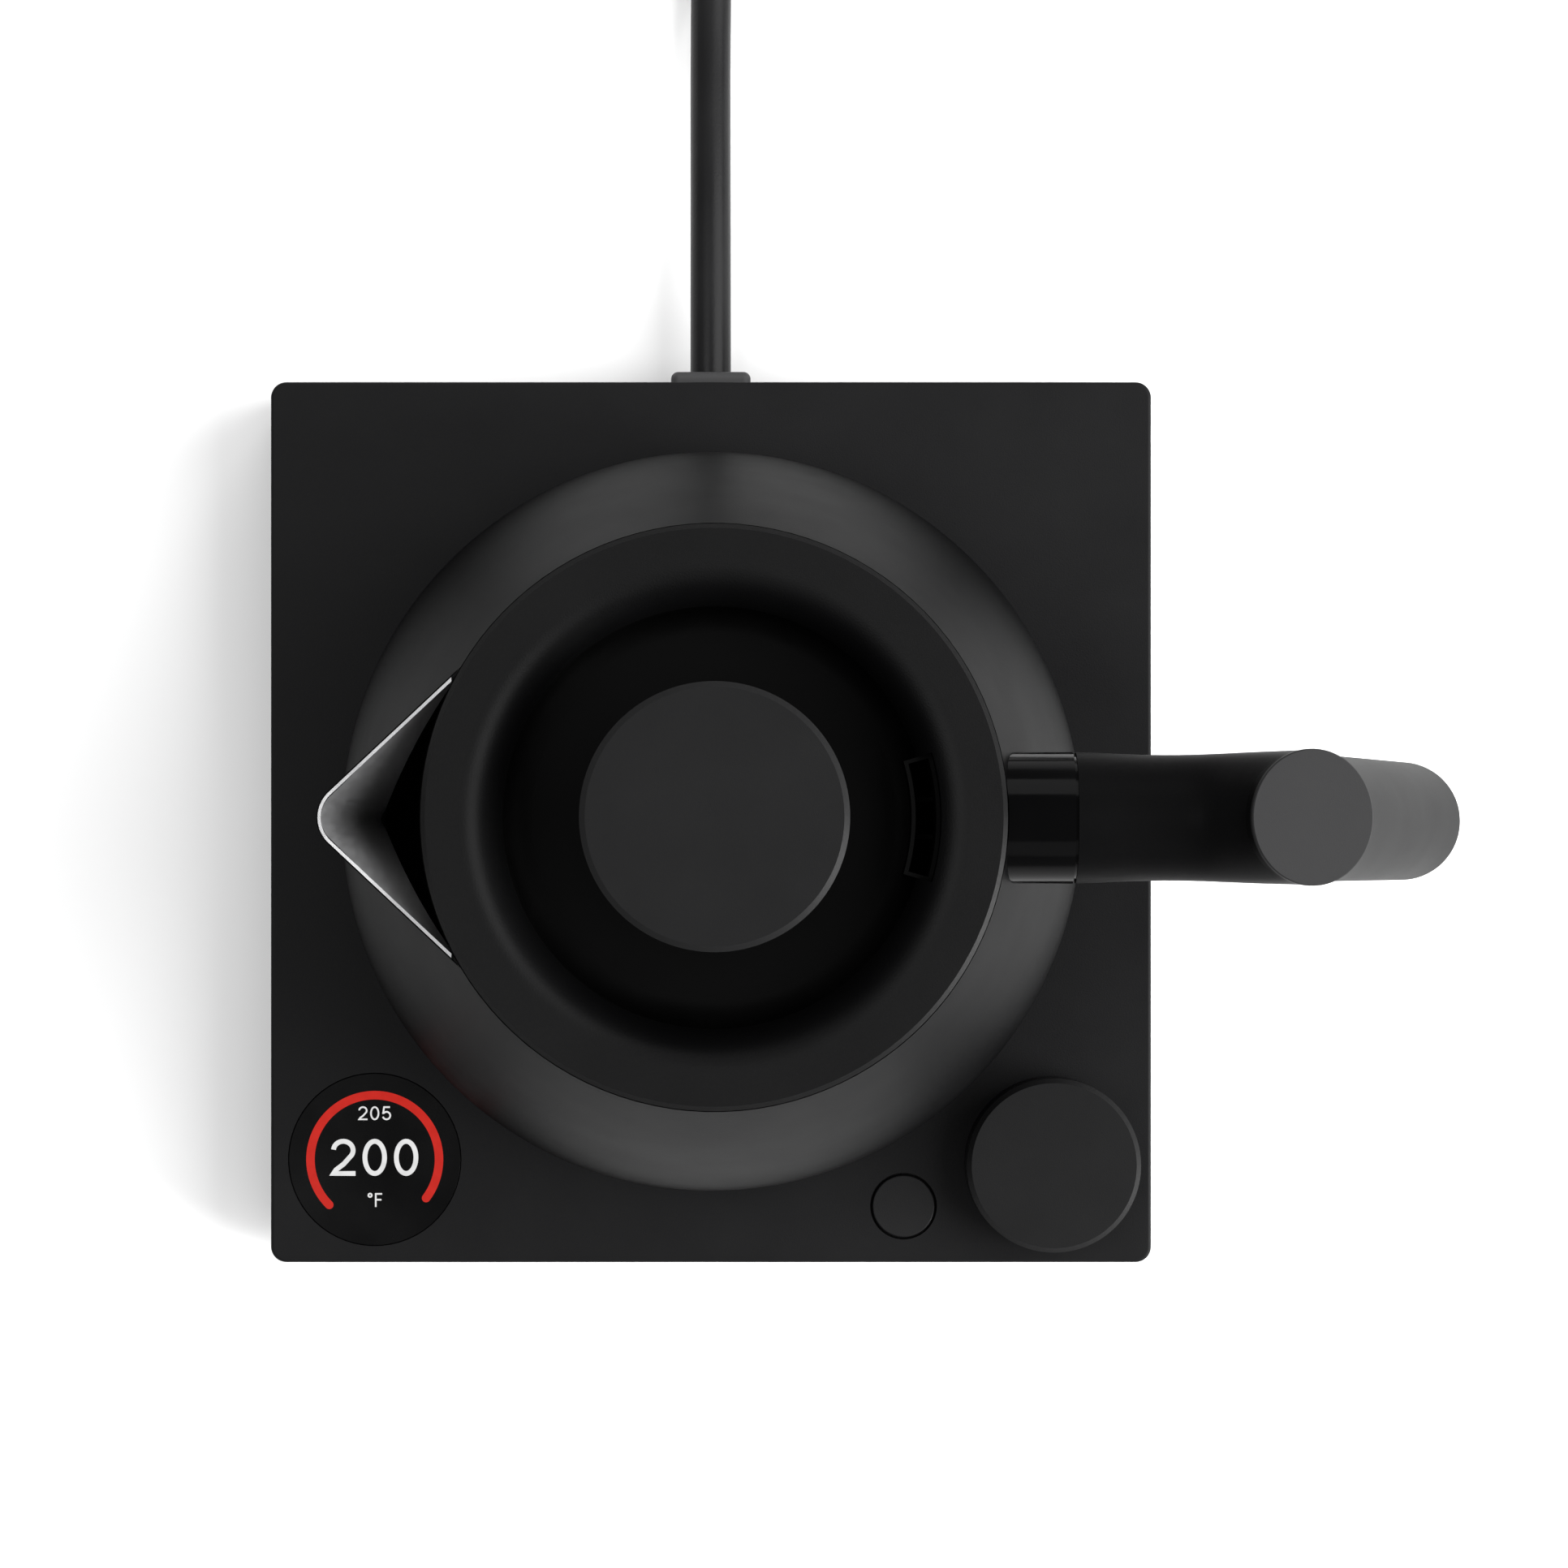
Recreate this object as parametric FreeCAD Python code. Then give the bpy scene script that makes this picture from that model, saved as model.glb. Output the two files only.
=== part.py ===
import FreeCAD, Part

import math
import os

# An electric kettle on a square base. Millimetres, +Z up. The origin is the centre of the
# base's footprint on the table. +X points to the handle, -Y to the display and the dial,
# and +Y to the cord.

V = FreeCAD.Vector
UP = V(0, 0, 1)

# Base housing
BASE_SIDE = 171.5
BASE_TOP = 30.0
BASE_CORNER = 3.0
BASE_EDGE = 0.7
BASE_WALL = 2.5
BASE_PLATE = 3.0
BASE_SKIRT = 4.0
BASE_INSIDE = BASE_SIDE / 2 - BASE_WALL
BASE_CEILING = BASE_TOP - BASE_PLATE
BOTTOM_COVER_TOP = 6.5
FOOT_OUTER = 140.0
FOOT_INNER = 122.0
FOOT_SEAT = BASE_SKIRT + 0.8
SCREW_PLACES = [(-76, 0), (76, 0), (-28, 76), (28, 76), (0, -76)]
SCREW_RADIUS = 1.3
SCREW_HEAD_RADIUS = 3.2
SCREW_TIP = 16.0
BOSS_RADIUS = 4.5

# Display
DISPLAY_AT = (-65.5, -65.7)
DISPLAY_RADIUS = 16.9
WINDOW_THICK = 1.5
WINDOW_LEDGE = 2.0
PANEL_RADIUS = DISPLAY_RADIUS - WINDOW_LEDGE - 0.3
PANEL_BOTTOM = BASE_CEILING - 1.5
CARRIER_SIDE = 33.0
CARRIER_THICK = 1.6

# Dial
DIAL_AT = (66.1, -66.3)
DIAL_RADIUS = 16.8
DIAL_TOP = 43.0
DIAL_BOTTOM = 31.0
DIAL_EDGE = 0.9
DIAL_HUB_RADIUS = 6.0
DIAL_RIM_INNER = 13.5
DIAL_ROOF = 39.0
SHAFT_RADIUS = 3.0
SHAFT_BOTTOM = 12.0
SHAFT_TOP = DIAL_TOP - 3
RUNNING_GAP = 0.05
ENCODER_SIDE = 14.0
ENCODER_TOP = 18.5
BUSH_RADIUS = 4.5
BUSH_TOP = 33.0
ROTOR_RADIUS = 5.0
ROTOR_BOTTOM = 12.6
ROTOR_TOP = 17.2
NUT_CORNER = 7.0
NUT_THICK = 2.2

# Button
BUTTON_AT = (37.5, -74.8)
BUTTON_RADIUS = 6.05
BUTTON_HOLE = 6.5
BUTTON_SKIRT = 24.5
BUTTON_STEM_RADIUS = 2.0
BUTTON_STEM_LOW = 13.8
SWITCH_SIDE = 6.0
SWITCH_TOP = 12.6
SWITCH_PLUNGER = 13.2

# Circuit boards and what stands on them: x, y, width and depth
BOARD_BOTTOM = 9.0
BOARD_TOP = 10.6
MAIN_BOARD = (-56, 40, 46, 62)
CONTROL_BOARD = (54, -67, 54, 29)
POWER_SUPPLY = (-66, 52, 20, 30)
SUPPLY_TOP = 26.0
POWER_RELAY = (-44, 54, 16, 20)
RELAY_TOP = 25.0
BUZZER_AT = (-44, 24)
BUZZER_RADIUS = 6.0
BUZZER_TOP = 20.0
TERMINALS_AT = (0, 40)
TERMINALS_WIDTH = 26.0
TERMINALS_DEPTH = 14.0
TERMINALS_TOP = 20.0
WIRE_SPACING = 7.5
WIRE_RADIUS = 1.2
WIRE_WAY = 6.0
RIBBON_LOW = 10.9
RIBBON_HIGH = 11.9
RIBBON_WIDTH = 7.0

# Central connector
BOSS_TOP = 34.0
CONNECTOR_RADIUS = 22.0
CONNECTOR_FLANGE = 29.0
GROOVES = [(9.5, 12.5), (15.5, 18.5)]
GROOVE_FLOOR = 28.0
PIN_HOLE = 3.0
PIN_HOLE_FLOOR = GROOVE_FLOOR - 2
CONNECTOR_LOW = 14.0
CONNECTOR_HOLLOW = 20.0
UPPER_CONNECTOR_RADIUS = 23.5
UPPER_CONNECTOR_BOTTOM = 34.6
UPPER_CONNECTOR_TOP = 42.0
UPPER_NECK_RADIUS = 16.0
CONTACT_TIP = 29.0
CONTACT_PLAY = 0.7
SPIN_GAP = 0.4

# Kettle vessel
WALL = 1.2
FOOT_GAP = 0.3
KETTLE_BOTTOM = BASE_TOP + FOOT_GAP
BODY_LOW = 37.6
BODY_WIDEST = 46.0
BODY_RADIUS = 70.85
RIM_TOP = 160.0
RIM_RADIUS = 51.3
RIM_OPENING = 46.5
RIM_DEPTH = 3.0
BODY_POWER = 1.6
FLOOR_BOTTOM = 46.2
FLOOR_THICK = 1.2
PROBE_AT = (-31.5, 0)
PROBE_RADIUS = 4.0
PROBE_REACH = 6.0
HEATER_RADIUS = 60.0
HEATER_BOTTOM = FLOOR_BOTTOM - 2.2
ELEMENT_RING = 48.0
ELEMENT_RADIUS = 3.2
ELEMENT_HEIGHT = FLOOR_BOTTOM - 5.4
ELEMENT_GAP = 9.0
COVER_RADIUS = 66.0
COVER_FLOOR = KETTLE_BOTTOM + 2.2
COVER_RELIEF = KETTLE_BOTTOM + 1.0
COVER_WALL = 2.6
COLLAR_WALL = 2.4
COVER_SCREW_RING = 36.0
COVER_SCREW_RADIUS = 1.5

# Spout: a V seen from above, rounded at the tip
SPOUT_TOP = 159.0
SPOUT_TIP = 69.3
SPOUT_TIP_ROUND = 6.3
SPOUT_ROOT = (-43.4, 27.0)
SPOUT_LOW = 124.0
SPOUT_LOW_TIP = 60.5
SPOUT_LOW_ROUND = 2.6
SPOUT_LOW_ROOT = (-50.0, 10.0)
SPOUT_WALL = 0.8

# Lid
LID_RADIUS = 50.95
LID_TOP = 165.0
LID_BOTTOM = 160.4
LID_FLAT_INNER = 44.4
DISH_RADIUS = 37.0
DISH_FLOOR = 147.0
DISH_CORNER = 5.0
LID_WALL = 2.2
LID_EDGE = 0.8
SKIRT_OUTER = 44.6
SKIRT_INNER = 42.8
LID_LOW = 143.0
SEAL_LOW = 153.4
SEAL_HIGH = 156.6
KNOB_RADIUS = 23.15
KNOB_TOP = 182.0
KNOB_UNDER = 171.0
KNOB_NECK = 13.0
KNOB_FOOT = 15.0
KNOB_SCREW_RADIUS = 2.0
VENT_INNER = 35.2
VENT_OUTER = 38.8
VENT_HALF = 10.0
VENT_WALL = 0.7
VENT_TOP = LID_TOP - 7.6
VENT_BAR_SPACING = 3.3

# Handle: an arm that bends up to a tilted end cap, and a grip that leans outwards
ARM_HEIGHT = 150.0
BRACKET_END = 63.5
BRACKET_RADIUS = 11.55
BRACKET_GROOVE = 0.5
ARM_BEND = 25.0
CAP_TILT = math.radians(23.2)
CAP_AT = V(103.8, 0, 165.2)
CAP_NORMAL = V(math.sin(CAP_TILT), 0, math.cos(CAP_TILT))
CAP_ACROSS = V(math.cos(CAP_TILT), 0, -math.sin(CAP_TILT))
CAP_RADIUS = 11.9
CAP_THICK = 1.2
CAP_SEAM = 0.4
CAP_SPIGOT_RADIUS = 7.5
CAP_SPIGOT_LENGTH = 4.0
WAIST_RADIUS = 11.05
GRIP_RADIUS = 11.2
GRIP_END = V(132.0, 0, 57.0)
GRIP_END_ROUND = 4.0
GRIP_SHIFT = 2.45
GRIP_TOP = CAP_AT - CAP_NORMAL * CAP_THICK - CAP_ACROSS * GRIP_SHIFT
HANDLE_WALL = 2.8
HANDLE_BOLT_RADIUS = 2.5
HANDLE_BOLT_HOLE = 2.6
HANDLE_BOLT_START = 56.0
HANDLE_BOLT_HEAD = 96.0

# Cord and plug
CORD_RADIUS = 4.0
CORD_LIE = CORD_RADIUS + 0.2
CORD_HEIGHT = 15.2
FLANGE_SIDE = 15.6
FLANGE_OUT = 2.6
FLANGE_CORNER = 1.5
FLANGE_EDGE = 1.4
BARREL_RADIUS = 6.4
CLAMP_Y = 68.0
CLAMP_HALF = 13.0
CLAMP_SCREW_X = 9.0
CLAMP_TOP = CORD_HEIGHT + 6
CORD_ROUTE = [
    V(0, 62, CORD_HEIGHT),
    V(0, 114, CORD_HEIGHT),
    V(0, 166, CORD_LIE),
    V(1.2, 219, CORD_LIE),
]
COIL_RADIUS = 44.0
COIL_TURNS = 2.25
COIL_CENTRE = V(CORD_ROUTE[-1].x + COIL_RADIUS, CORD_ROUTE[-1].y, 0)
COIL_LAYERS = 3
COIL_TOP_LAYER = CORD_LIE + 2 * CORD_RADIUS * (COIL_LAYERS - 1)
PLUG_HEIGHT = 13.2
PLUG_Y = COIL_CENTRE.y + COIL_RADIUS
RELIEF_START = 112.0
RELIEF_LENGTH = 26.0
TAIL_ROUTE = [
    V(COIL_CENTRE.x, PLUG_Y, COIL_TOP_LAYER),
    V(71, PLUG_Y, COIL_TOP_LAYER - 0.4),
    V(95, PLUG_Y + 0.4, PLUG_HEIGHT),
    V(RELIEF_START, PLUG_Y + 0.4, PLUG_HEIGHT),
]
PLUG_LENGTH = 36.0
PLUG_WIDTH = 27.0
PLUG_FACE = RELIEF_LENGTH + PLUG_LENGTH
BLADE_SPACING = 12.7
BLADE_WIDTH = 6.35
BLADE_THICK = 1.5
BLADE_LENGTH = 17.0
EARTH_RADIUS = 2.375
EARTH_LENGTH = 20.0
EARTH_NOSE = 1.4
EARTH_OFFSET = 11.9


def cylinder(radius, low, high, at=(0, 0)):
    return Part.makeCylinder(radius, high - low, V(at[0], at[1], low), UP)


def tube(outer, inner, low, high, at=(0, 0)):
    return cylinder(outer, low, high, at).cut(cylinder(inner, low - 1, high + 1, at))


def rod(radius, start, end):
    run = end - start
    return Part.makeCylinder(radius, run.Length, start, run)


def block(low, high):
    size = high - low
    return Part.makeBox(size.x, size.y, size.z, low)


def board(x, y, width, depth, low=BOARD_BOTTOM, high=BOARD_TOP):
    return block(V(x - width / 2, y - depth / 2, low), V(x + width / 2, y + depth / 2, high))


def square_plate(side, corner, low, high):
    plate = board(0, 0, side, side, low, high)
    upright = [edge for edge in plate.Edges if abs(edge.tangentAt(edge.FirstParameter).z) > 0.9]
    return plate.makeFillet(corner, upright)


def line(start, end):
    return Part.LineSegment(start, end).toShape()


def arc(start, middle, end):
    return Part.Arc(start, middle, end).toShape()


def spline(points):
    curve = Part.BSplineCurve()
    curve.interpolate(points)
    return curve.toShape()


def turned(edges, at=(0, 0)):
    face = Part.Face(Part.Wire(Part.__sortEdges__(edges)))
    solid = face.revolve(V(0, 0, 0), UP, 360)
    return solid.translated(V(at[0], at[1], 0))


def turned_polygon(points, at=(0, 0)):
    corners = [V(r, 0, z) for r, z in points]
    pairs = zip(corners, corners[1:] + corners[:1])
    return turned([line(start, end) for start, end in pairs], at)


def edges_at_height(shape, height):
    return [edge for edge in shape.Edges
            if abs(edge.BoundBox.ZMin - height) < 0.01 and abs(edge.BoundBox.ZMax - height) < 0.01]


def joined(shapes):
    return shapes[0].multiFuse(shapes[1:]).removeSplitter()


def cord_tube(route, radius):
    """Straight runs joined by tangent arcs, each as large as its two runs allow."""
    edges = []
    start = route[0]
    length = 0
    for before, corner, after in zip(route, route[1:], route[2:]):
        back = before - corner
        ahead = after - corner
        turn = math.pi - back.getAngle(ahead)
        reach = 0.45 * min(back.Length, ahead.Length)
        bend = reach / math.tan(turn / 2)
        print("cord bend radius", round(bend, 1))
        back.normalize()
        ahead.normalize()
        middle_way = back + ahead
        middle_way.normalize()
        first = corner + back * reach
        last = corner + ahead * reach
        middle = corner + middle_way * (bend / math.cos(turn / 2) - bend)
        edges += [line(start, first), arc(first, middle, last)]
        length += (first - start).Length + bend * turn
        start = last
    edges.append(line(start, route[-1]))
    length += (route[-1] - start).Length
    path = Part.Wire(edges)
    ring = Part.Wire(Part.makeCircle(radius, route[0], route[1] - route[0]))
    solid = path.makePipeShell([ring], True, False)
    print("cord length", round(length, 1), "volume ratio",
          round(solid.Volume / (math.pi * radius ** 2 * length), 4))
    return solid


# ---- base -------------------------------------------------------------------------------

def base_top_cover():
    outer = square_plate(BASE_SIDE, BASE_CORNER, BASE_SKIRT, BASE_TOP)
    outer = outer.makeFillet(BASE_EDGE, edges_at_height(outer, BASE_TOP))
    inside = square_plate(BASE_SIDE - 2 * BASE_WALL, 1.5, BASE_SKIRT - 1, BASE_CEILING)
    cover = outer.cut(inside)
    posts = [cylinder(BOSS_RADIUS, BOTTOM_COVER_TOP, BASE_CEILING + 1, at) for at in SCREW_PLACES]
    cover = joined([cover] + posts)
    holes = [cylinder(SCREW_RADIUS, BOTTOM_COVER_TOP - 1, SCREW_TIP + 2.5, at) for at in SCREW_PLACES]
    holes.append(cylinder(CONNECTOR_RADIUS + 0.1, BASE_CEILING - 1, BASE_TOP + 1))
    holes.append(cylinder(DISPLAY_RADIUS, BASE_TOP - WINDOW_THICK, BASE_TOP + 1, DISPLAY_AT))
    holes.append(cylinder(DISPLAY_RADIUS - WINDOW_LEDGE, BASE_CEILING - 1, BASE_TOP, DISPLAY_AT))
    holes.append(cylinder(BUSH_RADIUS + 0.1, BASE_CEILING - 1, BASE_TOP + 1, DIAL_AT))
    holes.append(cylinder(BUTTON_HOLE, BASE_CEILING - 1, BASE_TOP + 1, BUTTON_AT))
    holes.append(rod(BARREL_RADIUS + 0.1, V(0, BASE_INSIDE - 1, CORD_HEIGHT),
                     V(0, BASE_SIDE / 2 + 1, CORD_HEIGHT)))
    return cover.cut(holes)


def base_bottom_cover():
    plate = square_plate(BASE_SIDE - 2 * BASE_WALL - 0.2, 1.4, BASE_SKIRT, BOTTOM_COVER_TOP)
    holes = [cylinder(SCREW_RADIUS + 0.5, 0, 10, at) for at in SCREW_PLACES]
    holes += [cylinder(SCREW_HEAD_RADIUS + 0.2, 0, BASE_SKIRT + 1.2, at) for at in SCREW_PLACES]
    return plate.cut(holes + [foot_ring()])


def foot_ring():
    ring = square_plate(FOOT_OUTER, 8, 0, FOOT_SEAT)
    return ring.cut(square_plate(FOOT_INNER, 4, -1, FOOT_SEAT + 1))


def screw(at, head_low, head_high, tip, head_radius, radius):
    head = cylinder(head_radius, head_low, head_high, at)
    slot = board(at[0], at[1], head_radius * 1.2, 0.8, head_low - 1, head_low + 0.7)
    return joined([head, cylinder(radius, head_high, tip, at)]).cut(slot)


def base_screws():
    return Part.makeCompound([screw(at, BASE_SKIRT + 0.1, BASE_SKIRT + 1.2, SCREW_TIP,
                                    SCREW_HEAD_RADIUS, SCREW_RADIUS) for at in SCREW_PLACES])


def display_window():
    window = cylinder(DISPLAY_RADIUS, BASE_TOP - WINDOW_THICK, BASE_TOP, DISPLAY_AT)
    return window.makeChamfer(0.25, edges_at_height(window, BASE_TOP))


def display_module():
    panel = cylinder(PANEL_RADIUS, PANEL_BOTTOM, BASE_TOP - WINDOW_THICK, DISPLAY_AT)
    carrier = board(*DISPLAY_AT, CARRIER_SIDE, CARRIER_SIDE, PANEL_BOTTOM - CARRIER_THICK, PANEL_BOTTOM)
    return joined([panel, carrier])


def main_board():
    return board(*MAIN_BOARD)


def power_supply():
    return board(*POWER_SUPPLY, BOARD_TOP, SUPPLY_TOP)


def power_relay():
    return board(*POWER_RELAY, BOARD_TOP, RELAY_TOP)


def buzzer():
    return tube(BUZZER_RADIUS, 1.2, BOARD_TOP, BUZZER_TOP, BUZZER_AT)


def terminal_block():
    housing = board(*TERMINALS_AT, TERMINALS_WIDTH, TERMINALS_DEPTH, BOTTOM_COVER_TOP, TERMINALS_TOP)
    way_y = TERMINALS_AT[1] + WIRE_WAY
    ways = [board(step * WIRE_SPACING, way_y, WIRE_WAY, TERMINALS_DEPTH, BOARD_TOP, TERMINALS_TOP - 2.6)
            for step in (-1, 0, 1)]
    return housing.cut(ways)


def control_board():
    return board(*CONTROL_BOARD)


def tact_switch():
    body = board(*BUTTON_AT, SWITCH_SIDE, SWITCH_SIDE, BOARD_TOP, SWITCH_TOP)
    return joined([body, cylinder(1.75, SWITCH_TOP, SWITCH_PLUNGER, BUTTON_AT)])


def encoder_body():
    can = board(*DIAL_AT, ENCODER_SIDE, ENCODER_SIDE, BOARD_TOP, ENCODER_TOP)
    bush = cylinder(BUSH_RADIUS, ENCODER_TOP, BUSH_TOP, DIAL_AT)
    hollow = cylinder(ROTOR_RADIUS + RUNNING_GAP, ROTOR_BOTTOM - 0.2, ROTOR_TOP + 0.2, DIAL_AT)
    bore = cylinder(SHAFT_RADIUS + RUNNING_GAP, ROTOR_TOP, BUSH_TOP + 1, DIAL_AT)
    under = cylinder(ROTOR_RADIUS - 1, BOARD_TOP - 1, ROTOR_BOTTOM - 0.2, DIAL_AT)
    return joined([can, bush]).cut([hollow, bore, under])


def encoder_rotor():
    return tube(ROTOR_RADIUS, SHAFT_RADIUS + RUNNING_GAP, ROTOR_BOTTOM, ROTOR_TOP, DIAL_AT)


def encoder_nut():
    corners = [V(math.cos(k * math.pi / 3), math.sin(k * math.pi / 3), 0) * NUT_CORNER
               for k in range(7)]
    nut = Part.Face(Part.makePolygon(corners)).extrude(V(0, 0, NUT_THICK))
    nut = nut.translated(V(*DIAL_AT, BASE_TOP))
    return nut.cut(cylinder(BUSH_RADIUS, BASE_TOP - 1, BUSH_TOP, DIAL_AT))


def press_dome():
    return turned_polygon([(0, BOARD_TOP), (3.4, BOARD_TOP), (2.2, 11.2), (0, 11.2)], DIAL_AT)


def dial_shaft():
    return cylinder(SHAFT_RADIUS, SHAFT_BOTTOM, SHAFT_TOP, DIAL_AT)


def dial_cap():
    cap = cylinder(DIAL_RADIUS, DIAL_BOTTOM, DIAL_TOP, DIAL_AT)
    cap = cap.makeChamfer(DIAL_EDGE, edges_at_height(cap, DIAL_TOP))
    hollow = tube(DIAL_RIM_INNER, DIAL_HUB_RADIUS, DIAL_BOTTOM - 1, DIAL_ROOF, DIAL_AT)
    clear = cylinder(NUT_CORNER + 2, DIAL_BOTTOM - 1, BUSH_TOP + 1.5, DIAL_AT)
    bore = cylinder(SHAFT_RADIUS, DIAL_BOTTOM, SHAFT_TOP, DIAL_AT)
    return cap.cut([hollow, clear, bore])


def button_cap():
    top = cylinder(BUTTON_RADIUS, BUTTON_SKIRT, BASE_TOP, BUTTON_AT)
    top = top.makeFillet(0.3, edges_at_height(top, BASE_TOP))
    collar = cylinder(BUTTON_HOLE + 1.2, BUTTON_SKIRT - 1, BASE_CEILING - 0.5, BUTTON_AT)
    return joined([top, collar, cylinder(BUTTON_STEM_RADIUS, BUTTON_STEM_LOW, BUTTON_SKIRT, BUTTON_AT)])


def base_connector():
    flange = cylinder(CONNECTOR_FLANGE, BASE_CEILING - 5, BASE_CEILING)
    boss = cylinder(CONNECTOR_RADIUS, BASE_CEILING, BOSS_TOP)
    boss = boss.makeFillet(0.8, edges_at_height(boss, BOSS_TOP))
    body = joined([flange, boss, cylinder(CONNECTOR_RADIUS + 2, CONNECTOR_LOW, BASE_CEILING - 5)])
    hollow = cylinder(CONNECTOR_RADIUS - 1, CONNECTOR_LOW - 1, CONNECTOR_HOLLOW)
    grooves = [tube(outer, inner, GROOVE_FLOOR, BOSS_TOP + 1) for inner, outer in GROOVES]
    return body.cut(grooves + [hollow, cylinder(PIN_HOLE, PIN_HOLE_FLOOR, BOSS_TOP + 1)])


def base_contacts():
    rings = [tube(outer - 0.2, inner + 0.2, GROOVE_FLOOR, GROOVE_FLOOR + 0.5)
             for inner, outer in GROOVES]
    pad = cylinder(PIN_HOLE - 0.2, PIN_HOLE_FLOOR, PIN_HOLE_FLOOR + 0.5)
    return Part.makeCompound(rings + [pad])


def cord_grommet():
    wall = BASE_SIDE / 2
    low = V(-FLANGE_SIDE / 2, wall, CORD_HEIGHT - FLANGE_SIDE / 2)
    flange = block(low, low + V(FLANGE_SIDE, FLANGE_OUT, FLANGE_SIDE))
    along = [edge for edge in flange.Edges if abs(edge.tangentAt(edge.FirstParameter).y) > 0.9]
    flange = flange.makeFillet(FLANGE_CORNER, along)
    outer = [edge for edge in flange.Edges if edge.BoundBox.YMin > wall + FLANGE_OUT - 0.01]
    flange = flange.makeFillet(FLANGE_EDGE, outer)
    barrel = rod(BARREL_RADIUS, V(0, wall - 10, CORD_HEIGHT), V(0, wall, CORD_HEIGHT))
    lip = rod(BARREL_RADIUS + 2, V(0, BASE_INSIDE - 2.2, CORD_HEIGHT), V(0, BASE_INSIDE - 0.1, CORD_HEIGHT))
    bore = rod(CORD_RADIUS, V(0, wall - 20, CORD_HEIGHT), V(0, wall + 10, CORD_HEIGHT))
    return joined([flange, barrel, lip]).cut(bore)


def cord_clamp():
    saddle = block(V(-CLAMP_HALF, CLAMP_Y - 4, BOTTOM_COVER_TOP),
                   V(CLAMP_HALF, CLAMP_Y + 4, CORD_HEIGHT - 0.2))
    bar = block(V(-CLAMP_HALF, CLAMP_Y - 3.5, CORD_HEIGHT + 0.2), V(CLAMP_HALF, CLAMP_Y + 3.5, CLAMP_TOP))
    channel = rod(CORD_RADIUS + 0.02, V(0, CLAMP_Y - 8, CORD_HEIGHT), V(0, CLAMP_Y + 12, CORD_HEIGHT))
    holes = [cylinder(1.5, BOTTOM_COVER_TOP, BASE_TOP, (side * CLAMP_SCREW_X, CLAMP_Y))
             for side in (-1, 1)]
    return Part.makeCompound([part.cut([channel] + holes) for part in (saddle, bar)])


def cord_clamp_screws():
    places = [(side * CLAMP_SCREW_X, CLAMP_Y) for side in (-1, 1)]
    return Part.makeCompound([joined([cylinder(1.4, BOTTOM_COVER_TOP + 1, CLAMP_TOP, at),
                                      cylinder(2.6, CLAMP_TOP, CLAMP_TOP + 1.6, at)])
                              for at in places])


def mains_wires():
    cord_end = CORD_ROUTE[0] - V(0, 1, 0)
    terminal = V(0, TERMINALS_AT[1] + 2, 14)
    return Part.makeCompound([rod(WIRE_RADIUS, cord_end + V(step * 2.5, 0, 0),
                                  terminal + V(step * WIRE_SPACING, 0, 0)) for step in (-1, 0, 1)])


def ribbon_cable():
    left = -33
    right = 34
    turn = -45
    first = block(V(left, turn, RIBBON_LOW), V(left + RIBBON_WIDTH, 22, RIBBON_HIGH))
    second = block(V(left, turn - RIBBON_WIDTH, RIBBON_LOW), V(right - 4, turn, RIBBON_HIGH))
    third = block(V(right - RIBBON_WIDTH, -56, RIBBON_LOW), V(right, turn, RIBBON_HIGH))
    return joined([first, second, third])


# ---- kettle -----------------------------------------------------------------------------

def kettle_connector():
    disc = cylinder(UPPER_CONNECTOR_RADIUS, UPPER_CONNECTOR_BOTTOM, UPPER_CONNECTOR_TOP)
    neck = cylinder(UPPER_NECK_RADIUS, UPPER_CONNECTOR_TOP, UPPER_CONNECTOR_TOP + 1.2)
    return joined([disc, neck])


def kettle_contacts():
    """Two rings and a pin under the disc, which reach down into the base's grooves."""
    rings = [tube(outer - CONTACT_PLAY, inner + CONTACT_PLAY, CONTACT_TIP, UPPER_CONNECTOR_BOTTOM)
             for inner, outer in GROOVES]
    return Part.makeCompound(rings + [cylinder(PIN_HOLE - 1, CONTACT_TIP, UPPER_CONNECTOR_BOTTOM)])


def body_radius(height):
    rise = (height - BODY_WIDEST) / (RIM_TOP - BODY_WIDEST)
    return BODY_RADIUS - (BODY_RADIUS - RIM_RADIUS) * rise ** BODY_POWER


def vessel(inset, low, high):
    """The solid inside the vessel's wall, a wall's inset from its outer face."""
    steps = 6
    heights = [BODY_WIDEST + (high - BODY_WIDEST) * k / steps for k in range(steps + 1)]
    side = [V(body_radius(z) - inset, 0, z) for z in heights]
    heel = V(BODY_RADIUS - inset - 2.6, 0, low)
    waist = V(BODY_RADIUS - inset - 0.75, 0, (low + BODY_WIDEST) / 2 - 0.2)
    edges = [arc(heel, waist, side[0]), spline(side), line(side[-1], V(0, 0, high)),
             line(V(0, 0, high), V(0, 0, low)), line(V(0, 0, low), heel)]
    return turned(edges)


def spout_outline(tip, tip_round, root, height):
    """A V with a rounded tip, closed across its root."""
    centre = V(-tip + tip_round, 0, height)
    corner = V(root[0], root[1], height)
    reach = corner - centre
    side = math.atan2(reach.y, reach.x)
    touch = side + math.acos(tip_round / reach.Length)
    upper = centre + V(math.cos(touch), math.sin(touch), 0) * tip_round
    lower = V(upper.x, -upper.y, height)
    mirror = V(corner.x, -corner.y, height)
    edges = [line(corner, upper), arc(upper, centre - V(tip_round, 0, 0), lower),
             line(lower, mirror), line(mirror, corner)]
    return Part.Wire(edges)


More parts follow.
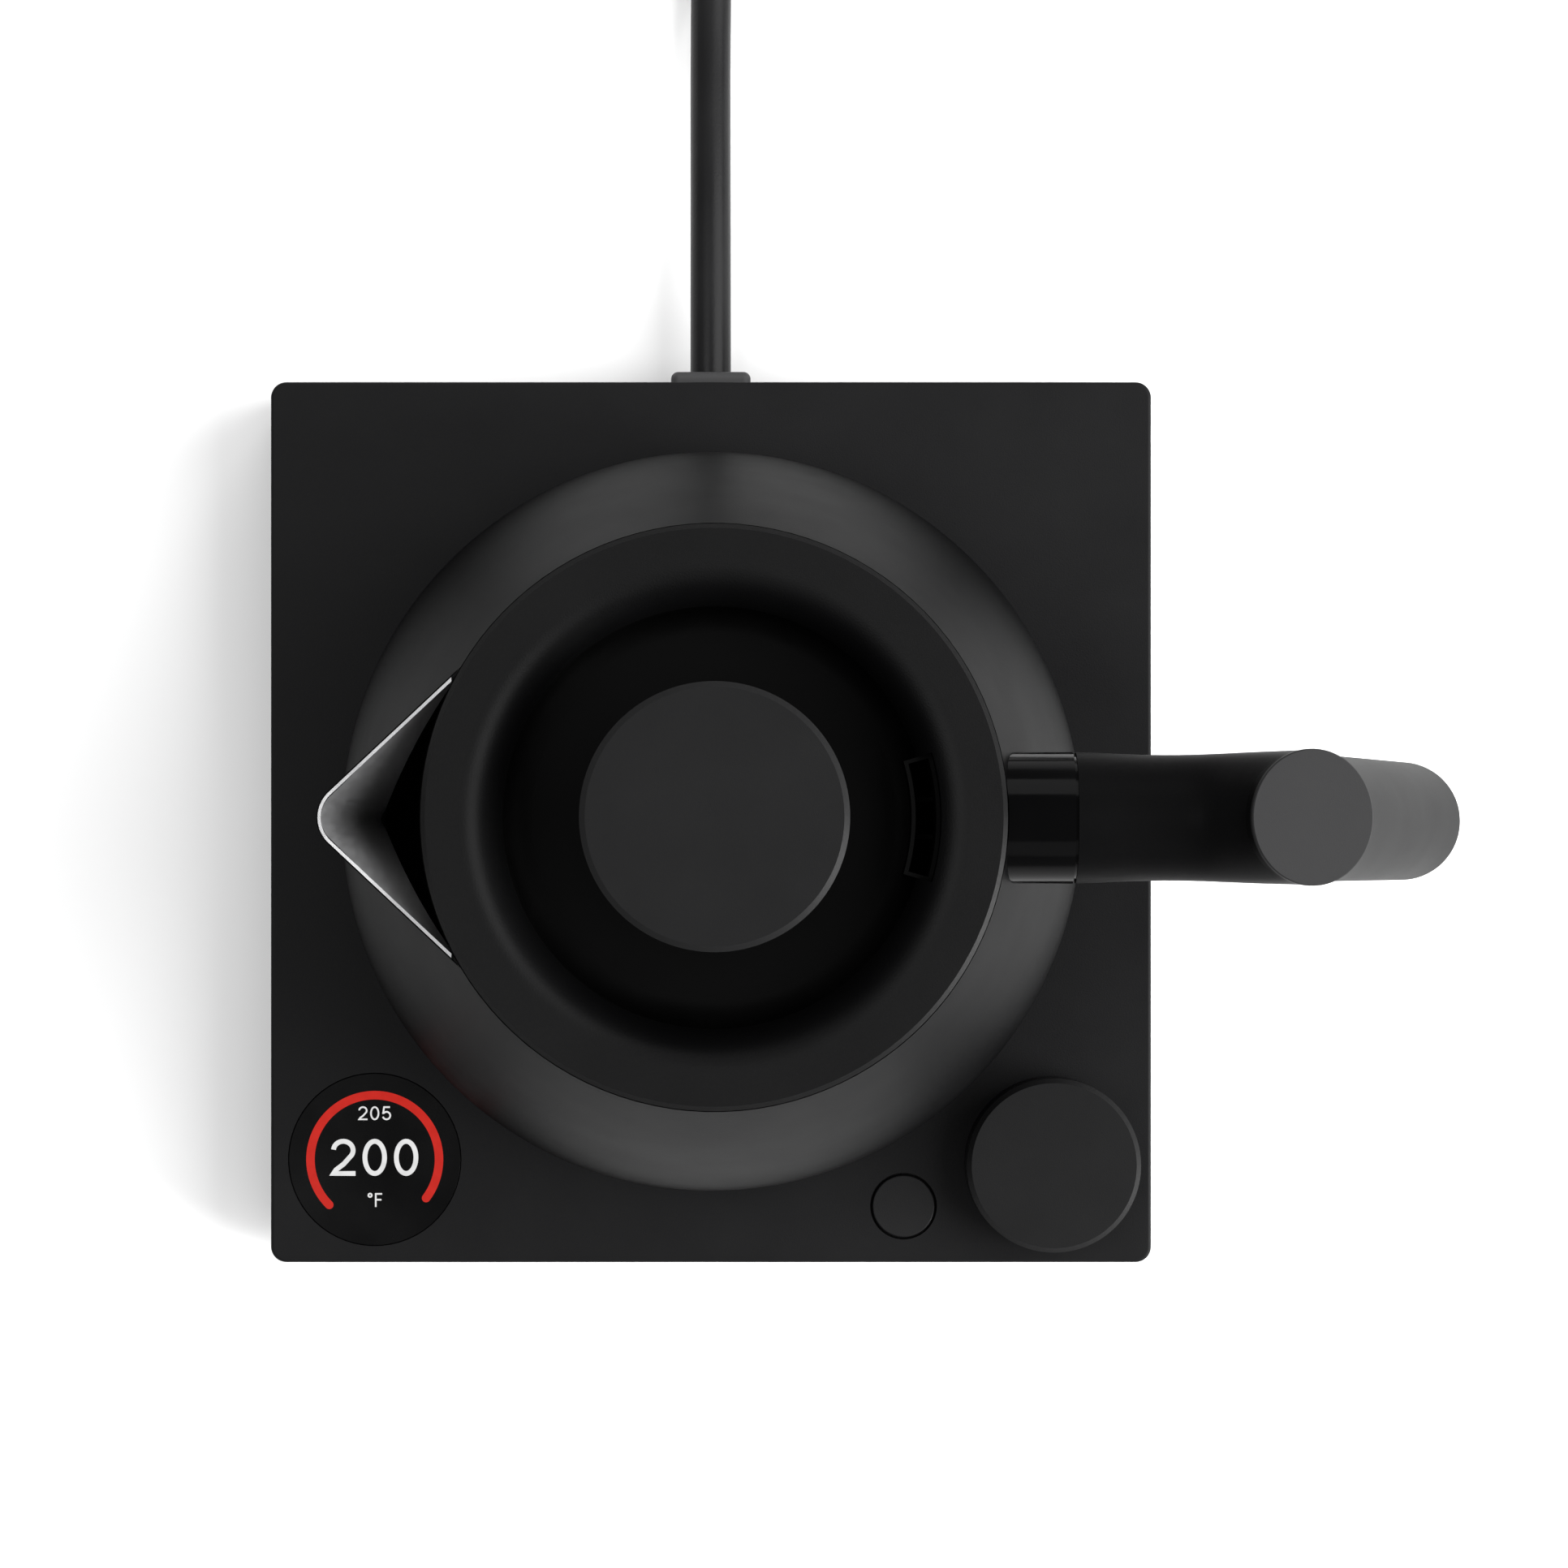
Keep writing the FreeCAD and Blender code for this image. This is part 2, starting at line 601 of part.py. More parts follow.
def spout_solid(inset, above=0.0):
    """The spout's V between its low apex and its mouth; above continues it past the mouth."""
    slope = (SPOUT_TIP - SPOUT_LOW_TIP) / (SPOUT_TOP - SPOUT_LOW)
    widen = (SPOUT_ROOT[1] - SPOUT_LOW_ROOT[1]) / (SPOUT_TOP - SPOUT_LOW)
    upper = spout_outline(SPOUT_TIP + slope * above - inset, SPOUT_TIP_ROUND - inset,
                          (SPOUT_ROOT[0], SPOUT_ROOT[1] + widen * above - 1.4 * inset),
                          SPOUT_TOP + above)
    lower = spout_outline(SPOUT_LOW_TIP - inset, SPOUT_LOW_ROUND - inset,
                          (SPOUT_LOW_ROOT[0], SPOUT_LOW_ROOT[1] - 1.4 * inset), SPOUT_LOW)
    return Part.makeLoft([lower, upper], True, True)


def kettle_body():
    outside = joined([vessel(0, BODY_LOW, RIM_TOP), spout_solid(0)])
    inside = vessel(WALL, BODY_LOW, RIM_TOP)
    shell = outside.cut([inside, spout_solid(SPOUT_WALL, 6.0)])
    rim = tube(RIM_RADIUS, RIM_OPENING, RIM_TOP - RIM_DEPTH, RIM_TOP)
    return joined([shell, rim.common(vessel(0, BODY_LOW, RIM_TOP))])


def kettle_floor():
    radius = BODY_RADIUS - WALL - 0.12
    plate = cylinder(radius, FLOOR_BOTTOM, FLOOR_BOTTOM + FLOOR_THICK)
    return plate.cut(cylinder(PROBE_RADIUS, FLOOR_BOTTOM - 1, FLOOR_BOTTOM + 3, PROBE_AT))


def heater_plate():
    plate = cylinder(HEATER_RADIUS, HEATER_BOTTOM, FLOOR_BOTTOM)
    return plate.cut(cylinder(PROBE_RADIUS + 2, HEATER_BOTTOM - 1, FLOOR_BOTTOM + 1, PROBE_AT))


def heater_element():
    ring = Part.makeTorus(ELEMENT_RING, ELEMENT_RADIUS, V(0, 0, ELEMENT_HEIGHT))
    gap = block(V(-60, -ELEMENT_GAP, 30), V(-40, ELEMENT_GAP, 50))
    end_x = 1.2 - ELEMENT_RING
    ends = [rod(ELEMENT_RADIUS / 2, V(end_x, side * ELEMENT_GAP, ELEMENT_HEIGHT),
                V(end_x, side * 4, ELEMENT_HEIGHT)) for side in (-1, 1)]
    return Part.makeCompound([joined([ring.cut(gap)] + ends)])


def thermostat():
    return board(36, 0, 15, 18, 35.5, HEATER_BOTTOM)


def temperature_probe():
    tip = FLOOR_BOTTOM + PROBE_REACH
    stem = cylinder(PROBE_RADIUS, FLOOR_BOTTOM - PROBE_REACH, tip, PROBE_AT)
    return joined([stem, Part.makeSphere(PROBE_RADIUS, V(*PROBE_AT, tip))])


def kettle_bottom_cover():
    outer = cylinder(COVER_RADIUS, KETTLE_BOTTOM, BODY_LOW)
    outer = outer.makeFillet(2.0, edges_at_height(outer, KETTLE_BOTTOM))
    lip = cylinder(COVER_RADIUS + 0.8, BODY_LOW - 1.6, BODY_LOW)
    ring = tube(COVER_RADIUS - 0.6, COVER_RADIUS - COVER_WALL, BODY_LOW, BODY_LOW + 4)
    body = joined([outer, lip, ring])
    hollow = cylinder(COVER_RADIUS - COVER_WALL, COVER_FLOOR, BODY_LOW + 8)
    relief = cylinder(COVER_RADIUS - 8, KETTLE_BOTTOM - 1, COVER_RELIEF)
    mouth_radius = UPPER_CONNECTOR_RADIUS + SPIN_GAP
    collar = tube(mouth_radius + COLLAR_WALL, mouth_radius, COVER_RELIEF, BODY_LOW + 3)
    body = joined([body.cut([hollow, relief]), collar])
    mouth = cylinder(mouth_radius, KETTLE_BOTTOM - 1, BODY_LOW + 8)
    holes = [cylinder(COVER_SCREW_RADIUS + 0.2, KETTLE_BOTTOM, BODY_LOW, at)
             for at in cover_screw_places()]
    return body.cut([mouth] + holes)


def cover_screw_places():
    angles = [math.radians(90 + 120 * k) for k in range(3)]
    return [(COVER_SCREW_RING * math.cos(a), COVER_SCREW_RING * math.sin(a)) for a in angles]


def kettle_cover_screws():
    return Part.makeCompound([screw(at, COVER_RELIEF - 0.5, COVER_RELIEF, HEATER_BOTTOM,
                                    2 * COVER_SCREW_RADIUS, COVER_SCREW_RADIUS)
                              for at in cover_screw_places()])


# ---- handle -----------------------------------------------------------------------------

def arm_rod(radius, start, end):
    """A round bar on the arm's straight axis."""
    return rod(radius, V(start, 0, ARM_HEIGHT), V(end, 0, ARM_HEIGHT))


def handle_bracket():
    stub = arm_rod(BRACKET_RADIUS, RIM_RADIUS - 10, BRACKET_END)
    groove = arm_rod(BRACKET_RADIUS + 1, BRACKET_END - BRACKET_GROOVE, BRACKET_END)
    groove = groove.cut(arm_rod(BRACKET_RADIUS - BRACKET_GROOVE, RIM_RADIUS, CAP_AT.x))
    wall = joined([vessel(0.0, BODY_LOW, RIM_TOP), cylinder(RIM_RADIUS, RIM_TOP - 1, KNOB_TOP)])
    hole = arm_rod(HANDLE_BOLT_HOLE, RIM_RADIUS, CAP_AT.x)
    return stub.cut([wall, groove, hole])


def ring_across(centre, slope, radius):
    """A circle in a plane that turns about Y: slope is its normal's angle above +X."""
    ring = Part.Wire(Part.makeCircle(radius))
    ring.rotate(V(0, 0, 0), V(0, 1, 0), 90 - math.degrees(slope))
    ring.translate(centre)
    return ring


def handle_arm(inset):
    """From the bracket through a waist, then bending up to the end cap's plane."""
    bend_end = math.pi / 2 - CAP_TILT
    bend_from = CAP_AT - V(math.sin(bend_end), 0, 1 - math.cos(bend_end)) * ARM_BEND
    sections = [(V(BRACKET_END, 0, ARM_HEIGHT), 0, BRACKET_RADIUS),
                (V((BRACKET_END + bend_from.x) / 2, 0, ARM_HEIGHT), 0, WAIST_RADIUS + 0.15)]
    for step in range(4):
        angle = bend_end * step / 3
        centre = bend_from + V(math.sin(angle), 0, 1 - math.cos(angle)) * ARM_BEND
        radius = WAIST_RADIUS + (CAP_RADIUS - WAIST_RADIUS) * step / 3
        sections.append((centre, angle, radius))
    rings = [ring_across(centre, angle, radius - inset) for centre, angle, radius in sections]
    return Part.makeLoft(rings, True, False)


def cap_disc(radius, depth, thick):
    """A disc square to the end cap, its lower face depth below the cap's top."""
    return Part.makeCylinder(radius, thick, CAP_AT - CAP_NORMAL * depth, CAP_NORMAL)


def handle_grip(inset):
    """A slanted rod whose top lies inside the arm's end on the side away from its slope."""
    way = GRIP_TOP - GRIP_END
    way.normalize()
    grip = rod(GRIP_RADIUS - inset, GRIP_END + way * inset, GRIP_TOP + way * CAP_RADIUS)
    if inset == 0:
        low = min(grip.Edges, key=lambda edge: edge.BoundBox.ZMax)
        grip = grip.makeFillet(GRIP_END_ROUND, [low])
    depth = 10
    beyond = cap_disc(2 * CAP_RADIUS, depth, depth).cut(cap_disc(CAP_RADIUS - 0.3 - inset, depth, depth))
    kettle_side = block(V(0, -CAP_RADIUS, 0), V(CAP_AT.x, CAP_RADIUS, KNOB_TOP))
    above = cap_disc(3 * CAP_RADIUS, CAP_THICK, 2 * CAP_RADIUS)
    return grip.cut([above, beyond.common(kettle_side)])


def handle_shell():
    outside = joined([handle_arm(0), handle_grip(0)])
    inside = joined([handle_arm(HANDLE_WALL), handle_grip(HANDLE_WALL)])
    return outside.cut([inside, cap_disc(3 * CAP_RADIUS, CAP_THICK, 2 * CAP_RADIUS)])


def handle_end_cap():
    disc = cap_disc(CAP_RADIUS, CAP_THICK - CAP_SEAM, CAP_THICK - CAP_SEAM)
    top = max(disc.Edges, key=lambda edge: edge.BoundBox.ZMin)
    disc = disc.makeChamfer(0.2, [top])
    neck = cap_disc(CAP_RADIUS - CAP_SEAM, CAP_THICK, CAP_SEAM)
    spigot = cap_disc(CAP_SPIGOT_RADIUS, CAP_THICK + CAP_SPIGOT_LENGTH, CAP_SPIGOT_LENGTH)
    return joined([disc, neck, spigot])


def handle_core():
    way = GRIP_TOP - GRIP_END
    way.normalize()
    start = GRIP_END + way * 20
    end = GRIP_END + way * 88
    bar = rod(4.0, start, end)
    arm = arm_rod(5.0, BRACKET_END, end.x + 1)
    hole = arm_rod(HANDLE_BOLT_HOLE, RIM_RADIUS, GRIP_END.x)
    core = joined([arm, rod(4.0, end - way, V(end.x, 0, ARM_HEIGHT)), bar]).cut(hole)
    room = joined([handle_arm(HANDLE_WALL + 0.1), handle_grip(HANDLE_WALL + 0.1)])
    return core.common(room)


def handle_screws():
    shank = arm_rod(HANDLE_BOLT_RADIUS, HANDLE_BOLT_START, HANDLE_BOLT_HEAD)
    return joined([shank, arm_rod(HANDLE_BOLT_RADIUS + 0.05, HANDLE_BOLT_HEAD - 3, HANDLE_BOLT_HEAD)])


# ---- lid --------------------------------------------------------------------------------

def lid_solid():
    """The lid's outside: skirt, flange, flat ring, rolled edge and the dish round the knob."""
    roll = LID_FLAT_INNER - DISH_RADIUS
    roll_centre = V(LID_FLAT_INNER, 0, LID_TOP - roll)
    corner_centre = V(DISH_RADIUS - DISH_CORNER, 0, DISH_FLOOR + DISH_CORNER)
    roll_middle = roll_centre + V(-1, 0, 1).normalize() * roll
    corner_middle = corner_centre + V(1, 0, -1).normalize() * DISH_CORNER
    wall_top = V(DISH_RADIUS, 0, roll_centre.z)
    wall_low = V(DISH_RADIUS, 0, corner_centre.z)
    floor_edge = V(corner_centre.x, 0, DISH_FLOOR)
    outline = [floor_edge, V(0, 0, DISH_FLOOR), V(0, 0, LID_LOW), V(SKIRT_OUTER, 0, LID_LOW),
               V(SKIRT_OUTER, 0, LID_BOTTOM), V(LID_RADIUS, 0, LID_BOTTOM),
               V(LID_RADIUS, 0, LID_TOP - LID_EDGE), V(LID_RADIUS - LID_EDGE, 0, LID_TOP),
               V(LID_FLAT_INNER, 0, LID_TOP)]
    edges = [line(start, end) for start, end in zip(outline, outline[1:])]
    edges.append(arc(outline[-1], roll_middle, wall_top))
    edges.append(line(wall_top, wall_low))
    edges.append(arc(wall_low, corner_middle, floor_edge))
    return turned(edges)


def vent_sector(outer, inner, half_width, low, high):
    """A ring's piece, half_width either side of the handle's direction."""
    half = math.degrees(half_width / ((VENT_INNER + VENT_OUTER) / 2))
    piece = Part.makeCylinder(outer, high - low, V(0, 0, low), UP, 2 * half)
    piece.rotate(V(0, 0, 0), UP, -half)
    return piece.cut(cylinder(inner, low - 1, high + 1))


def vent_hole():
    return vent_sector(VENT_OUTER + VENT_WALL, VENT_INNER - VENT_WALL, VENT_HALF + VENT_WALL,
                       LID_LOW - 1, LID_TOP + 1)


def lid_shell():
    pan = cylinder(SKIRT_INNER, LID_LOW - 1, DISH_FLOOR - LID_WALL)
    pocket = tube(SKIRT_INNER, DISH_RADIUS + LID_WALL, LID_LOW, LID_BOTTOM)
    groove = tube(SKIRT_OUTER + 1, SKIRT_OUTER - 0.9, SEAL_LOW, SEAL_HIGH)
    bore = cylinder(KNOB_SCREW_RADIUS + 0.1, LID_LOW - 1, DISH_FLOOR + 1)
    return lid_solid().cut([pan, pocket, groove, bore, vent_hole()])


def lid_underplate():
    plate = cylinder(SKIRT_INNER - 0.05, LID_LOW, LID_LOW + 1.6)
    bore = cylinder(KNOB_SCREW_RADIUS + 0.1, LID_LOW - 1, DISH_FLOOR)
    return plate.cut([bore, vent_hole()])


def lid_seal():
    ring = tube(SKIRT_OUTER + 1.6, SKIRT_OUTER - 0.9, SEAL_LOW, SEAL_HIGH)
    notch = tube(SKIRT_OUTER + 3, SKIRT_OUTER + 0.4, SEAL_LOW + 1.1, SEAL_HIGH - 1.1)
    return ring.cut(notch)


def lid_vent():
    frame = vent_sector(VENT_OUTER + VENT_WALL, VENT_INNER - VENT_WALL, VENT_HALF + VENT_WALL,
                        LID_LOW, VENT_TOP)
    slot = vent_sector(VENT_OUTER, VENT_INNER, VENT_HALF, LID_LOW - 1, LID_TOP)
    bars = [board(DISH_RADIUS, side * VENT_BAR_SPACING, 6, 0.8, LID_LOW, LID_LOW + 1.2)
            for side in (-1, 1)]
    return joined([frame.cut(slot)] + [bar.common(slot) for bar in bars])


def lid_knob():
    knob = turned_polygon([(0, DISH_FLOOR), (KNOB_FOOT, DISH_FLOOR), (KNOB_NECK, DISH_FLOOR + 3),
                           (KNOB_NECK, KNOB_UNDER - 8), (KNOB_RADIUS - 1.2, KNOB_UNDER),
                           (KNOB_RADIUS, KNOB_UNDER + 1.2), (KNOB_RADIUS, KNOB_TOP - 1),
                           (KNOB_RADIUS - 1, KNOB_TOP), (0, KNOB_TOP)])
    return knob.cut(cylinder(KNOB_SCREW_RADIUS, DISH_FLOOR - 1, KNOB_UNDER - 4))


def lid_knob_screw():
    head = cylinder(KNOB_SCREW_RADIUS + 1.6, LID_LOW - 1.8, LID_LOW)
    return joined([head, cylinder(KNOB_SCREW_RADIUS, LID_LOW, KNOB_UNDER - 6)])


# ---- cord -------------------------------------------------------------------------------

def power_cord():
    return cord_tube(CORD_ROUTE, CORD_RADIUS)


def power_cord_end():
    return cord_tube(TAIL_ROUTE, CORD_RADIUS)


def cord_coil():
    centre = (COIL_CENTRE.x, COIL_CENTRE.y)
    margin = CORD_RADIUS + 0.2
    return tube(COIL_RADIUS + margin, COIL_RADIUS - margin, 0.1, COIL_TOP_LAYER + CORD_RADIUS, centre)


def plug_point(along, across=0.0, rise=0.0):
    start = TAIL_ROUTE[-1]
    return V(start.x + along, start.y + across, start.z + rise)


def plug_body():
    relief = Part.makeCone(CORD_RADIUS + 1.3, 8.5, RELIEF_LENGTH, plug_point(0), V(1, 0, 0))
    half = PLUG_WIDTH / 2
    low = plug_point(RELIEF_LENGTH, -half, 0.1 - PLUG_HEIGHT)
    head = block(low, V(low.x + PLUG_LENGTH, low.y + PLUG_WIDTH, 2 * PLUG_HEIGHT - 0.6))
    head = head.makeFillet(4.0, [edge for edge in head.Edges
                                 if abs(edge.tangentAt(edge.FirstParameter).x) > 0.9])
    back = [edge for edge in head.Edges if edge.BoundBox.XMax < low.x + 0.01]
    head = head.makeFillet(2.5, back)
    return joined([relief, head])


def plug_blades():
    blades = []
    for side in (-1, 1):
        low = plug_point(PLUG_FACE, side * BLADE_SPACING / 2 - BLADE_THICK / 2,
                         -EARTH_OFFSET / 2 - BLADE_WIDTH / 2)
        blades.append(block(low, low + V(BLADE_LENGTH, BLADE_THICK, BLADE_WIDTH)))
    return Part.makeCompound(blades)


def plug_earth_pin():
    start = plug_point(PLUG_FACE, 0, EARTH_OFFSET / 2)
    tip = plug_point(PLUG_FACE + EARTH_LENGTH - EARTH_NOSE, 0, EARTH_OFFSET / 2)
    nose = Part.makeCone(EARTH_RADIUS, 1.0, EARTH_NOSE, tip, V(1, 0, 0))
    return joined([rod(EARTH_RADIUS, start, tip), nose])


NODES = [
    base_top_cover, base_bottom_cover, foot_ring, base_screws, display_window, display_module,
    main_board, power_supply, power_relay, buzzer, terminal_block, control_board, tact_switch,
    encoder_body, encoder_rotor, encoder_nut, press_dome, dial_shaft, dial_cap, button_cap,
    base_connector, base_contacts, cord_grommet, cord_clamp, cord_clamp_screws, mains_wires,
    ribbon_cable, kettle_connector, kettle_contacts, kettle_body, kettle_floor, heater_plate,
    heater_element, thermostat, temperature_probe, kettle_bottom_cover, kettle_cover_screws,
    handle_bracket, handle_core, handle_shell, handle_end_cap, handle_screws, lid_shell,
    lid_underplate, lid_seal, lid_vent, lid_knob, lid_knob_screw, power_cord, power_cord_end,
    cord_coil, plug_body, plug_blades, plug_earth_pin,
]


def main():
    os.makedirs("parts", exist_ok=True)
    for make in NODES:
        shape = make()
        box = shape.BoundBox
        print(make.__name__, "solids", len(shape.Solids), "valid", shape.isValid(),
              "volume", round(shape.Volume), "box", [round(value, 1) for value in (
                  box.XMin, box.XMax, box.YMin, box.YMax, box.ZMin, box.ZMax)])
        shape.exportStep("parts/" + make.__name__ + ".step")


main()
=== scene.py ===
import math

import bmesh
import bpy
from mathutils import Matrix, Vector


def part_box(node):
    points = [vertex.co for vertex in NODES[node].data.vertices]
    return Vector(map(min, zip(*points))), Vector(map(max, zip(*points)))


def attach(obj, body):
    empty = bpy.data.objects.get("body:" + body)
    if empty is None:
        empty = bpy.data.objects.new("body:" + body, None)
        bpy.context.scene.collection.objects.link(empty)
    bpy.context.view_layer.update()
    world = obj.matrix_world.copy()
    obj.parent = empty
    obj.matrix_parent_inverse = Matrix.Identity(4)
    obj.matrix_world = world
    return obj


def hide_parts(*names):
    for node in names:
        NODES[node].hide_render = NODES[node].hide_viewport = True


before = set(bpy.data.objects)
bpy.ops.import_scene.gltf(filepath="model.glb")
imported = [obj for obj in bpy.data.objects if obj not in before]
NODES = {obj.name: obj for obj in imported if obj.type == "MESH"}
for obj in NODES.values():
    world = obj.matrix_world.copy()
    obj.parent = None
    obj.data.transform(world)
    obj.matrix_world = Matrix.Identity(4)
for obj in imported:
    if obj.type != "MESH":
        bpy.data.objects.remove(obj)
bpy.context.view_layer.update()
SCENE = bpy.context.scene
MM = 0.001


# ---- camera ------------------------------------------------------------------------------

CAMERA_AT = (-0.0049, -0.0076, 1.25)
LENS = 143.8
SENSOR = 36.0
SHIFT = (0.0626, 0.0492)


def add_camera():
    data = bpy.data.cameras.new("camera")
    data.sensor_width = SENSOR
    data.lens = LENS
    data.shift_x, data.shift_y = SHIFT
    data.clip_end = 20
    camera = bpy.data.objects.new("camera", data)
    camera.location = CAMERA_AT
    SCENE.collection.objects.link(camera)
    SCENE.camera = camera


# ---- materials ---------------------------------------------------------------------------

# heights in metres between which a finish fades in, from nothing to whole, going up; below them
# lies painted shade: near-black down in the lid's dish, darker steel low inside the vessel
DISH_SHADE_FADE = (0.150, 0.158)
SPOUT_SHADE_FADE = (0.06, 0.15)
NOISE_LOW = 0.3
NOISE_HIGH = 0.7
FACES_IN = -0.15


def new_material(name):
    material = bpy.data.materials.new(name)
    material.use_nodes = True
    return material, material.node_tree


def node(tree, kind, **values):
    made = tree.nodes.new(kind)
    for key, value in values.items():
        setattr(made, key, value)
    return made


def noise(tree, scale, detail=3.0, stretch=(1, 1, 1)):
    """Noise in the object's own metres, stretched along its axes."""
    place = node(tree, "ShaderNodeTexCoord")
    mapping = node(tree, "ShaderNodeMapping")
    mapping.inputs["Scale"].default_value = stretch
    texture = node(tree, "ShaderNodeTexNoise")
    texture.inputs["Scale"].default_value = scale
    texture.inputs["Detail"].default_value = detail
    tree.links.new(place.outputs["Object"], mapping.inputs["Vector"])
    tree.links.new(mapping.outputs["Vector"], texture.inputs["Vector"])
    return texture.outputs["Fac"]


def spread(tree, source, low, high):
    """The source's middle range mapped onto low to high."""
    remap = node(tree, "ShaderNodeMapRange")
    remap.inputs["From Min"].default_value = NOISE_LOW
    remap.inputs["From Max"].default_value = NOISE_HIGH
    remap.inputs["To Min"].default_value = low
    remap.inputs["To Max"].default_value = high
    tree.links.new(source, remap.inputs["Value"])
    return remap.outputs["Result"]


def colours(tree, factor, dark, light):
    mix = node(tree, "ShaderNodeMix", data_type="RGBA")
    mix.inputs["A"].default_value = (*dark, 1)
    mix.inputs["B"].default_value = (*light, 1)
    tree.links.new(factor, mix.inputs["Factor"])
    return mix.outputs["Result"]


def bump(tree, height, distance):
    made = node(tree, "ShaderNodeBump")
    made.inputs["Distance"].default_value = distance
    made.inputs["Strength"].default_value = 1.0
    tree.links.new(height, made.inputs["Height"])
    return made.outputs["Normal"]


def finish(name, dark, light, rough, metallic=0.0, grain=2500, relief=0.00002,
           stretch=(1, 1, 1), specular=0.5):
    """A surface with fine grain in its relief and slow patches in its colour and roughness."""
    material, tree = new_material(name)
    shader = tree.nodes["Principled BSDF"]
    shader.inputs["Metallic"].default_value = metallic
    shader.inputs["Specular IOR Level"].default_value = specular
    slow = noise(tree, 60, 4)
    fine = noise(tree, grain, 2, stretch)
    shade = colours(tree, spread(tree, slow, 0, 1), dark, light)
    tree.links.new(shade, shader.inputs["Base Color"])
    tree.links.new(spread(tree, slow, rough[0], rough[1]), shader.inputs["Roughness"])
    tree.links.new(bump(tree, fine, relief), shader.inputs["Normal"])
    return material


def ramp(tree, source, low, high):
    """0 below low and 1 above high."""
    remap = node(tree, "ShaderNodeMapRange")
    remap.inputs["From Min"].default_value = low
    remap.inputs["From Max"].default_value = high
    tree.links.new(source, remap.inputs["Value"])
    return remap.outputs["Result"]


def lid_material():
    """Powder coat that gives way, by height, to near-black painted shade down in the dish's recess.
    """
    material = finish("lid_coat", (0.001, 0.001, 0.0011), (0.0013, 0.0013, 0.0014), (0.4, 0.44),
                      grain=3200, relief=0.00003, specular=0.1)
    tree = material.node_tree
    coat = tree.nodes["Principled BSDF"]
    # painted shade: a near-black, barely glossy surface standing for the shade down in the dish
    painted_shade = node(tree, "ShaderNodeBsdfPrincipled")
    painted_shade.inputs["Specular IOR Level"].default_value = 0.04
    slow = noise(tree, 90, 3)
    tree.links.new(colours(tree, spread(tree, slow, 0, 1), (0.0006, 0.0006, 0.0006),
                           (0.001, 0.001, 0.001)), painted_shade.inputs["Base Color"])
    tree.links.new(spread(tree, slow, 0.5, 0.6), painted_shade.inputs["Roughness"])
    place = node(tree, "ShaderNodeTexCoord")
    parts = node(tree, "ShaderNodeSeparateXYZ")
    tree.links.new(place.outputs["Object"], parts.inputs["Vector"])
    # painted shade below the dish's fade heights, coat above
    mix = node(tree, "ShaderNodeMixShader")
    tree.links.new(ramp(tree, parts.outputs["Z"], *DISH_SHADE_FADE), mix.inputs["Fac"])
    tree.links.new(painted_shade.outputs["BSDF"], mix.inputs[1])
    tree.links.new(coat.outputs["BSDF"], mix.inputs[2])
    tree.links.new(mix.outputs["Shader"], tree.nodes["Material Output"].inputs["Surface"])
    return material


def vessel_material():
    """Black powder coat outside and brushed steel inside, told apart by which way it faces.

    The steel is painted darker with depth, as painted shade inside the vessel.
    """
    material = finish("vessel_coat", (0.0014, 0.0014, 0.0015), (0.0018, 0.0018, 0.0019),
                      (0.43, 0.46), grain=3200, relief=0.00002, specular=0.0095)
    tree = material.node_tree
    coat = tree.nodes["Principled BSDF"]
    steel = node(tree, "ShaderNodeBsdfPrincipled")
    steel.inputs["Metallic"].default_value = 0.8
    brushing = noise(tree, 900, 4, (1, 1, 0.03))
    tree.links.new(spread(tree, brushing, 0.46, 0.58), steel.inputs["Roughness"])
    place = node(tree, "ShaderNodeTexCoord")
    height = node(tree, "ShaderNodeSeparateXYZ")
    tree.links.new(place.outputs["Object"], height.inputs["Vector"])
    # painted shade: the inner steel's colour goes from 0.46 down to 0.02 lower in the vessel
    bright = ramp(tree, height.outputs["Z"], *SPOUT_SHADE_FADE)
    tree.links.new(colours(tree, bright, (0.02, 0.02, 0.0205), (0.46, 0.46, 0.465)),
                   steel.inputs["Base Color"])
    flat = node(tree, "ShaderNodeVectorMath", operation="MULTIPLY")
    flat.inputs[1].default_value = (1, 1, 0)
    outward = node(tree, "ShaderNodeVectorMath", operation="NORMALIZE")
    facing = node(tree, "ShaderNodeVectorMath", operation="DOT_PRODUCT")
    inside = node(tree, "ShaderNodeMath", operation="LESS_THAN")
    inside.inputs[1].default_value = FACES_IN
    tree.links.new(place.outputs["Object"], flat.inputs[0])
    tree.links.new(flat.outputs["Vector"], outward.inputs[0])
    tree.links.new(outward.outputs["Vector"], facing.inputs[0])
    tree.links.new(place.outputs["Normal"], facing.inputs[1])
    tree.links.new(facing.outputs["Value"], inside.inputs[0])
    mix = node(tree, "ShaderNodeMixShader")
    tree.links.new(inside.outputs["Value"], mix.inputs["Fac"])
    tree.links.new(coat.outputs["BSDF"], mix.inputs[1])
    tree.links.new(steel.outputs["BSDF"], mix.inputs[2])
    tree.links.new(mix.outputs["Shader"], tree.nodes["Material Output"].inputs["Surface"])
    return material


def glow(name, dark, light, strength):
    """Lit display segments, a little uneven like backlit print."""
    material, tree = new_material(name)
    shader = tree.nodes["Principled BSDF"]
    shade = colours(tree, spread(tree, noise(tree, 400, 2), 0, 1), dark, light)
    shader.inputs["Base Color"].default_value = (0.004, 0.004, 0.004, 1)
    shader.inputs["Specular IOR Level"].default_value = 0.06
    tree.links.new(shade, shader.inputs["Emission Color"])
    shader.inputs["Emission Strength"].default_value = strength
    shader.inputs["Roughness"].default_value = 0.4
    return material


